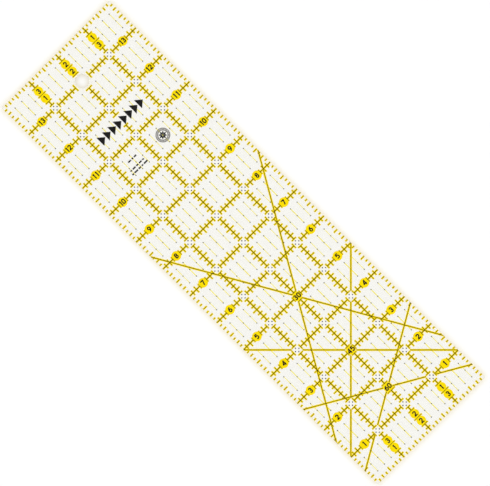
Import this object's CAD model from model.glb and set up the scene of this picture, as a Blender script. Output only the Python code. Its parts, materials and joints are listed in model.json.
import json
from math import cos, pi, radians, sin

import bpy
import bmesh
from mathutils import Matrix, Vector


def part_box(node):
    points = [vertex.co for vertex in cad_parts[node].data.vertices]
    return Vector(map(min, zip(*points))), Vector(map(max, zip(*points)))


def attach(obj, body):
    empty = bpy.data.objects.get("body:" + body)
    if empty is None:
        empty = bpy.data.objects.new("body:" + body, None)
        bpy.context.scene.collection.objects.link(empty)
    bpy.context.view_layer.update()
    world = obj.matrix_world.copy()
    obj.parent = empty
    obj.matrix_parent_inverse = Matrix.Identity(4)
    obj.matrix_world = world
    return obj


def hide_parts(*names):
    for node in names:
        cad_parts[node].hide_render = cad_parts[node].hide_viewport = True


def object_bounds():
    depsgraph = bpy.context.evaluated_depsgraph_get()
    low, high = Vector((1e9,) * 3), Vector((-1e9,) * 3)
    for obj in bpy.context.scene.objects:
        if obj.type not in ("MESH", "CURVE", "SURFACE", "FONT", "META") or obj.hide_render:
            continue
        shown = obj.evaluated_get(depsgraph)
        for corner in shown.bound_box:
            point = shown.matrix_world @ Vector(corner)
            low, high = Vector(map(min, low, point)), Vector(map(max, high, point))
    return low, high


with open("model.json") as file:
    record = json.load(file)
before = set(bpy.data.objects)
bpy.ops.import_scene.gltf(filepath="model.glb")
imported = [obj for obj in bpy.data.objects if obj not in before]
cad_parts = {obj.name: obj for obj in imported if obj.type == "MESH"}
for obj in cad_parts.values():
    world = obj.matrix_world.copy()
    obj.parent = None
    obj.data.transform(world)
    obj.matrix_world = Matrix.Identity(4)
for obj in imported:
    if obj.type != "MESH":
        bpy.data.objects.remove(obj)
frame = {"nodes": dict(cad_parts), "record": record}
cad_low, cad_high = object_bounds()

# A clear acrylic quilting ruler lying on a pale table, seen from straight above.
# Metres, in the CAD frame: X across the ruler, Y along it towards the hang hole, Z up.

INCH = 0.0254

# Camera
VIEW_WIDTH = 0.3278
VIEW_MIDDLE = (0.0005, -0.00098)
CAMERA_HEIGHT = 1.9
CAMERA_ROLL = -45

# Table and light
FLOOR_SIZE = 6.0
FLOOR_DROP = 0.00002
FLOOR_COLOUR = (0.92, 0.92, 0.92)
FLOOR_ROUGHNESS = 0.9
OVERHEAD_STRENGTH = 0.01
SURROUND_STRENGTH = 0.42
OVERHEAD_EDGE = (0.86, 0.96)
SOFT_BOX_DISTANCE = 1.6
SOFT_BOX_HEIGHT = 48
SOFT_BOX_TURN = 25
SOFT_BOX_SIZE = 0.9
SOFT_BOX_POWER = 7.3
SOFT_BOX_COLOUR = (1.0, 0.998, 0.995)

# Blade
ACRYLIC_COLOUR = (1.0, 0.998, 0.99)
ACRYLIC_IOR = 1.49
FACE_TINT = (0.987, 0.985, 0.967)
EDGE_TINT = (0.80, 0.70, 0.42)
HOLE_TINT = (0.69, 0.62, 0.45)
INWARD_TINT = (0.97, 0.95, 0.88)
FROST_COLOUR = (0.91, 0.90, 0.86)
FROST_LIGHT_COLOUR = (0.96, 0.955, 0.92)
FROST_AMOUNT = 0.8
CHALK_SHARE = 0.5
FACE_ROUGHNESS = (0.01, 0.05)
EDGE_ROUGHNESS = (0.18, 0.30)
FACE_RELIEF = 0.12
EDGE_RELIEF = 0.2
RELIEF_DEPTH = 0.0001
SWELL_HEIGHT = 0.5
SCRATCH_HEIGHT = 0.01
CORNER_RADIUS = 0.0008
CORNER_SEGMENTS = 12
EDGE_ROUND = 0.00014
EDGE_ROUND_STEPS = 3
HANG_HOLE = (0.0, 6 * INCH)
HANG_HOLE_RADIUS = 0.1875 * INCH
HOLE_TINT_EDGE = (1.5 * HANG_HOLE_RADIUS, 2 * HANG_HOLE_RADIUS)
HOLE_SEGMENTS = 128
JOIN_DISTANCE = 1e-7
SHARP_ANGLE = 40
FLAT_FACE_NORMAL = 0.999

# Inks: fresh colour, worn colour and roughness of each slot
INKS = {
    "yellow_ink": ((0.975, 0.735, 0.0), (0.975, 0.80, 0.002), 0.32),
    "pale_yellow_ink": ((0.93, 0.80, 0.02), (0.95, 0.87, 0.12), 0.32),
    "black_ink": ((0.010, 0.010, 0.011), (0.030, 0.028, 0.026), 0.28),
    "grey_ink": ((0.24, 0.235, 0.23), (0.34, 0.335, 0.33), 0.32),
}
INK_SPECULAR = 0.2
INK_ROUGHNESS_SPREAD = 0.07
INK_RELIEF = 0.25
INK_RELIEF_DEPTH = 0.00001
WEAR_BY_DENSITY = 0.35
WEAR_BY_GRAIN = 0.22
WEAR_BY_PINHOLES = 0.5

# Noise textures: scale, detail, roughness and, where they run one way, stretch
INK_DENSITY = (90, 4.0, 0.6)
INK_GRAIN = (5200, 2.0, 0.6)
INK_PINHOLES = (2600, 1.0, 0.4)
LENGTHWISE_SCRATCHES = (60, 6.0, 0.75, (1, 0.02, 1))
CROSSWISE_SCRATCHES = (70, 6.0, 0.75, (0.03, 1, 1))
SWELL = (14, 2.0, 0.5)
HAZE = (35, 4.0, 0.6)
SAW_MARKS = (900, 3.0, 0.7, (1, 1, 0.03))
CHIPS = (2400, 2.0, 0.6)


# ---- Node helpers ----

class Nodes:
    """A small helper that adds nodes to one material and joins them."""

    def __init__(self, name):
        self.material = bpy.data.materials.new(name)
        self.material.use_nodes = True
        self.tree = self.material.node_tree
        self.tree.nodes.clear()
        self.output = self.tree.nodes.new("ShaderNodeOutputMaterial")
        self.coordinates = self.tree.nodes.new("ShaderNodeTexCoord").outputs["Object"]

    def add(self, kind, **values):
        """A node of one kind; values set its properties or, where it has none of that name, its inputs."""
        node = self.tree.nodes.new(kind)
        for key, value in values.items():
            if hasattr(node, key):
                setattr(node, key, value)
            else:
                self.plug(value, node.inputs[key.replace("_", " ")])
        return node

    def plug(self, value, socket):
        """Join an output to a socket, or set the socket's own value."""
        if isinstance(value, bpy.types.NodeSocket):
            self.tree.links.new(value, socket)
        else:
            socket.default_value = value

    def stretched(self, scale):
        """The object's coordinates, stretched by a factor along each axis."""
        mapping = self.add("ShaderNodeMapping")
        self.plug(self.coordinates, mapping.inputs["Vector"])
        mapping.inputs["Scale"].default_value = scale
        return mapping.outputs["Vector"]

    def noise(self, scale, detail, roughness, stretch=(1, 1, 1)):
        """A noise texture's value, mostly between 0.3 and 0.75."""
        node = self.add("ShaderNodeTexNoise", Scale=scale, Detail=detail, Roughness=roughness)
        self.plug(self.stretched(stretch), node.inputs["Vector"])
        return node.outputs["Fac"]

    def ramp(self, value, low, high, first=0.0, last=1.0):
        """A value mapped from low..high to first..last, held at both ends."""
        node = self.add("ShaderNodeMapRange")
        self.plug(value, node.inputs["Value"])
        for key, number in (("From Min", low), ("From Max", high), ("To Min", first), ("To Max", last)):
            node.inputs[key].default_value = number
        return node.outputs["Result"]

    def combine(self, first, second, operation="ADD"):
        """Two values added, or joined by another operation."""
        node = self.add("ShaderNodeMath", operation=operation)
        self.plug(first, node.inputs[0])
        self.plug(second, node.inputs[1])
        return node.outputs["Value"]

    def blend(self, factor, first, second):
        """One colour mixed into another, by the mix node's own sockets for colours."""
        node = self.add("ShaderNodeMix", data_type="RGBA")
        self.plug(factor, node.inputs["Factor"])
        self.plug(first, node.inputs[6])
        self.plug(second, node.inputs[7])
        return node.outputs[2]

    def mixed(self, factor, first, second):
        """One shader mixed into another."""
        node = self.add("ShaderNodeMixShader")
        self.plug(factor, node.inputs[0])
        self.plug(first, node.inputs[1])
        self.plug(second, node.inputs[2])
        return node.outputs["Shader"]

    def bump(self, height, strength, distance):
        node = self.add("ShaderNodeBump", Strength=strength, Distance=distance)
        self.plug(height, node.inputs["Height"])
        return node.outputs["Normal"]

    def finish(self, shader):
        self.tree.links.new(shader, self.output.inputs["Surface"])
        return self.material


# ---- Materials ----

def ink_material(name, colour, worn_colour, roughness):
    """Screen-printed ink: a faint mesh grain, slow changes of density and a few pinholes."""
    low, high = roughness - INK_ROUGHNESS_SPREAD, roughness + INK_ROUGHNESS_SPREAD
    nodes = Nodes(name)
    density = nodes.ramp(nodes.noise(*INK_DENSITY), 0.38, 0.68)
    mesh_grain = nodes.noise(*INK_GRAIN)
    pinholes = nodes.ramp(nodes.noise(*INK_PINHOLES), 0.73, 0.80)
    wear = nodes.combine(density, WEAR_BY_DENSITY, "MULTIPLY")
    wear = nodes.combine(wear, nodes.ramp(mesh_grain, 0.35, 0.75, last=WEAR_BY_GRAIN))
    wear = nodes.combine(wear, nodes.combine(pinholes, WEAR_BY_PINHOLES, "MULTIPLY"))
    shader = nodes.add("ShaderNodeBsdfPrincipled")
    shader.inputs["Specular IOR Level"].default_value = INK_SPECULAR
    nodes.plug(nodes.blend(wear, (*colour, 1), (*worn_colour, 1)), shader.inputs["Base Color"])
    nodes.plug(nodes.ramp(mesh_grain, 0.3, 0.7, low, high), shader.inputs["Roughness"])
    nodes.plug(nodes.bump(mesh_grain, INK_RELIEF, INK_RELIEF_DEPTH), shader.inputs["Normal"])
    return nodes.finish(shader.outputs["BSDF"])


def clear_acrylic():
    """Polished cast acrylic: a slow swell, fine scratches both ways and a touch of haze."""
    nodes = Nodes("clear_acrylic")
    lengthwise_scratches = nodes.ramp(nodes.noise(*LENGTHWISE_SCRATCHES), 0.62, 0.64)
    crosswise_scratches = nodes.ramp(nodes.noise(*CROSSWISE_SCRATCHES), 0.63, 0.65)
    scratches = nodes.combine(lengthwise_scratches, crosswise_scratches)
    swell = nodes.combine(nodes.noise(*SWELL), SWELL_HEIGHT, "MULTIPLY")
    height = nodes.combine(swell, nodes.combine(scratches, SCRATCH_HEIGHT, "MULTIPLY"), "SUBTRACT")
    haze = nodes.ramp(nodes.noise(*HAZE), 0.3, 0.75, *FACE_ROUGHNESS)
    glass = glass_shader(nodes, haze, height, FACE_RELIEF)
    return nodes.finish(let_light_through(nodes, glass.outputs["BSDF"], (*FACE_TINT, 1)))


def sawn_edge():
    """The satin cut edges of the sheet and of its hang hole, with fine upright saw marks."""
    nodes = Nodes("sawn_edge")
    saw_marks = nodes.noise(*SAW_MARKS)
    rough = nodes.ramp(saw_marks, 0.3, 0.7, *EDGE_ROUGHNESS)
    glass = glass_shader(nodes, rough, saw_marks, EDGE_RELIEF)

    chips = nodes.ramp(nodes.noise(*CHIPS), 0.35, 0.65)
    frost_colour = nodes.blend(chips, (*FROST_COLOUR, 1), (*FROST_LIGHT_COLOUR, 1))
    translucent = nodes.add("ShaderNodeBsdfTranslucent", Color=frost_colour)
    chalky = nodes.add("ShaderNodeBsdfDiffuse", Color=frost_colour)
    frost = nodes.mixed(CHALK_SHARE, translucent.outputs["BSDF"], chalky.outputs["BSDF"])
    body = nodes.mixed(FROST_AMOUNT, glass.outputs["BSDF"], frost)

    from_hole = nodes.add("ShaderNodeVectorMath", operation="DISTANCE")
    nodes.plug(nodes.coordinates, from_hole.inputs[0])
    from_hole.inputs[1].default_value = (*HANG_HOLE, 0)
    around_hole = nodes.ramp(from_hole.outputs["Value"], *HOLE_TINT_EDGE, first=1.0, last=0.0)
    outward = nodes.blend(around_hole, (*EDGE_TINT, 1), (*HOLE_TINT, 1))
    from_inside = nodes.add("ShaderNodeNewGeometry").outputs["Backfacing"]
    tint = nodes.blend(from_inside, outward, (*INWARD_TINT, 1))
    return nodes.finish(let_light_through(nodes, body, tint))


def glass_shader(nodes, roughness, height, relief):
    """Acrylic that bends light, with its roughness and relief."""
    glass = nodes.add("ShaderNodeBsdfPrincipled", Roughness=roughness)
    glass.inputs["Base Color"].default_value = (*ACRYLIC_COLOUR, 1)
    glass.inputs["Transmission Weight"].default_value = 1.0
    glass.inputs["IOR"].default_value = ACRYLIC_IOR
    nodes.plug(nodes.bump(height, relief, RELIEF_DEPTH), glass.inputs["Normal"])
    return glass


def let_light_through(nodes, shader, tint):
    """Let the light of lamps and table pass a shader straight and tinted, to light what is behind."""
    clear = nodes.add("ShaderNodeBsdfTransparent", Color=tint)
    light_path = nodes.add("ShaderNodeLightPath")
    for rays in ("Is Diffuse Ray", "Is Shadow Ray"):
        shader = nodes.mixed(light_path.outputs[rays], shader, clear.outputs["BSDF"])
    return shader


def floor_material():
    nodes = Nodes("pale_table")
    shader = nodes.add("ShaderNodeBsdfPrincipled", Roughness=FLOOR_ROUGHNESS)
    shader.inputs["Base Color"].default_value = (*FLOOR_COLOUR, 1)
    return nodes.finish(shader.outputs["BSDF"])


# ---- Pieces ----

def closed_loop(spline, points):
    """Give a curve's new spline its points and close it."""
    spline.points.add(len(points) - 1)
    for point, (x, y) in zip(spline.points, points):
        point.co = (x, y, 0, 1)
    spline.use_cyclic_u = True


def rounded_rectangle(low, high):
    """The corners of the blade's outline, each drawn as a quarter circle."""
    points = []
    for corner, (x, y) in enumerate(((1, 1), (-1, 1), (-1, -1), (1, -1))):
        centre_x = (high.x if x > 0 else low.x) - x * CORNER_RADIUS
        centre_y = (high.y if y > 0 else low.y) - y * CORNER_RADIUS
        for step in range(CORNER_SEGMENTS + 1):
            turn = (corner + step / CORNER_SEGMENTS) * pi / 2
            points.append((centre_x + CORNER_RADIUS * cos(turn), centre_y + CORNER_RADIUS * sin(turn)))
    return points


def circle(centre, radius, segments):
    turns = [2 * pi * step / segments for step in range(segments)]
    return [(centre[0] + radius * cos(turn), centre[1] + radius * sin(turn)) for turn in turns]


def make_blade():
    """The acrylic sheet with softly rounded edges, as one closed mesh."""
    low, high = (Vector(corner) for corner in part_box("acrylic_blade"))
    curve = bpy.data.curves.new("blade_outline", "CURVE")
    curve.dimensions = "2D"
    curve.fill_mode = "BOTH"
    closed_loop(curve.splines.new("POLY"), rounded_rectangle(low, high))
    closed_loop(curve.splines.new("POLY"), circle(HANG_HOLE, HANG_HOLE_RADIUS, HOLE_SEGMENTS))
    curve.offset = -EDGE_ROUND
    curve.bevel_depth = EDGE_ROUND
    curve.bevel_resolution = EDGE_ROUND_STEPS
    curve.extrude = (high.z - low.z) / 2 - EDGE_ROUND
    outline = bpy.data.objects.new("blade_outline", curve)
    bpy.context.scene.collection.objects.link(outline)
    bpy.context.view_layer.update()
    mesh = bpy.data.meshes.new_from_object(outline.evaluated_get(bpy.context.evaluated_depsgraph_get()))
    bpy.data.objects.remove(outline)
    blade = bpy.data.objects.new("clear_blade", mesh)
    bpy.context.scene.collection.objects.link(blade)
    mesh.transform(Matrix.Translation((0, 0, (low.z + high.z) / 2)))
    mesh.materials.append(clear_acrylic())
    mesh.materials.append(sawn_edge())
    join_and_smooth(mesh)
    return blade


def join_and_smooth(mesh):
    """Merge the doubled points of a mesh, shade its rounded edges smooth and mark its cut edges."""
    work = bmesh.new()
    work.from_mesh(mesh)
    bmesh.ops.remove_doubles(work, verts=work.verts, dist=JOIN_DISTANCE)
    bmesh.ops.recalc_face_normals(work, faces=work.faces)
    work.to_mesh(mesh)
    work.free()
    mesh.set_sharp_from_angle(angle=radians(SHARP_ANGLE))
    for face in mesh.polygons:
        on_the_edge = abs(face.normal.z) < FLAT_FACE_NORMAL
        face.use_smooth = on_the_edge
        face.material_index = int(on_the_edge)


def paint(piece, material):
    """Give every material slot of an object one material."""
    if not piece.data.materials:
        piece.data.materials.append(material)
    for index in range(len(piece.material_slots)):
        piece.material_slots[index].material = material


def paint_ink():
    """Give each printed CAD node the ink of its slot."""
    inks = {slot: ink_material(slot, *look) for slot, look in INKS.items()}
    for subpart in frame["record"]["subparts"]:
        if subpart["material_slot"] in inks:
            paint(frame["nodes"][subpart["node"]], inks[subpart["material_slot"]])


# ---- Stage ----

def make_floor():
    half = FLOOR_SIZE / 2
    mesh = bpy.data.meshes.new("table")
    corners = [(-half, -half, 0), (half, -half, 0), (half, half, 0), (-half, half, 0)]
    mesh.from_pydata(corners, [], [(0, 1, 2, 3)])
    table = bpy.data.objects.new("table", mesh)
    table.location.z = cad_low[2] - FLOOR_DROP
    bpy.context.scene.collection.objects.link(table)
    paint(table, floor_material())


def make_world():
    """An even white tent that is dark straight overhead, so that the blade mirrors no glare upwards."""
    world = bpy.data.worlds.new("studio")
    world.use_nodes = True
    tree = world.node_tree
    direction = tree.nodes.new("ShaderNodeTexCoord")
    split = tree.nodes.new("ShaderNodeSeparateXYZ")
    strength = tree.nodes.new("ShaderNodeMapRange")
    strength.interpolation_type = "SMOOTHSTEP"
    tree.links.new(direction.outputs["Generated"], split.inputs[0])
    tree.links.new(split.outputs["Z"], strength.inputs["Value"])
    strength.inputs["From Min"].default_value = OVERHEAD_EDGE[0]
    strength.inputs["From Max"].default_value = OVERHEAD_EDGE[1]
    strength.inputs["To Min"].default_value = SURROUND_STRENGTH
    strength.inputs["To Max"].default_value = OVERHEAD_STRENGTH
    background = tree.nodes["Background"]
    background.inputs["Color"].default_value = (1, 1, 1, 1)
    tree.links.new(strength.outputs["Result"], background.inputs["Strength"])
    bpy.context.scene.world = world


def make_soft_box(turn):
    """A square soft box that faces the middle of the ruler from one side and isn't mirrored in it."""
    light = bpy.data.lights.new("soft_box", "AREA")
    light.shape = "SQUARE"
    light.size = SOFT_BOX_SIZE
    light.energy = SOFT_BOX_POWER
    light.color = SOFT_BOX_COLOUR
    lamp = bpy.data.objects.new("soft_box", light)
    height, out = sin(radians(SOFT_BOX_HEIGHT)), cos(radians(SOFT_BOX_HEIGHT))
    place = SOFT_BOX_DISTANCE * Vector((out * cos(radians(turn)), out * sin(radians(turn)), height))
    lamp.location = place
    lamp.rotation_euler = (-place).to_track_quat("-Z", "Y").to_euler()
    lamp.visible_glossy = False
    lamp.visible_transmission = False
    bpy.context.scene.collection.objects.link(lamp)


def make_camera():
    """Straight down on the ruler, which lies across the picture's diagonal."""
    data = bpy.data.cameras.new("camera")
    data.lens = data.sensor_width * CAMERA_HEIGHT / VIEW_WIDTH
    camera = bpy.data.objects.new("camera", data)
    camera.location = (*VIEW_MIDDLE, CAMERA_HEIGHT)
    camera.rotation_euler = (0, 0, radians(CAMERA_ROLL))
    bpy.context.scene.collection.objects.link(camera)
    bpy.context.scene.camera = camera


make_camera()
make_world()
for turn in range(0, 360, 90):
    make_soft_box(turn + SOFT_BOX_TURN)
make_floor()

blade = make_blade()
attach(blade, "root")
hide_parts("acrylic_blade")
paint_ink()

bpy.context.scene.view_settings.view_transform = "Standard"
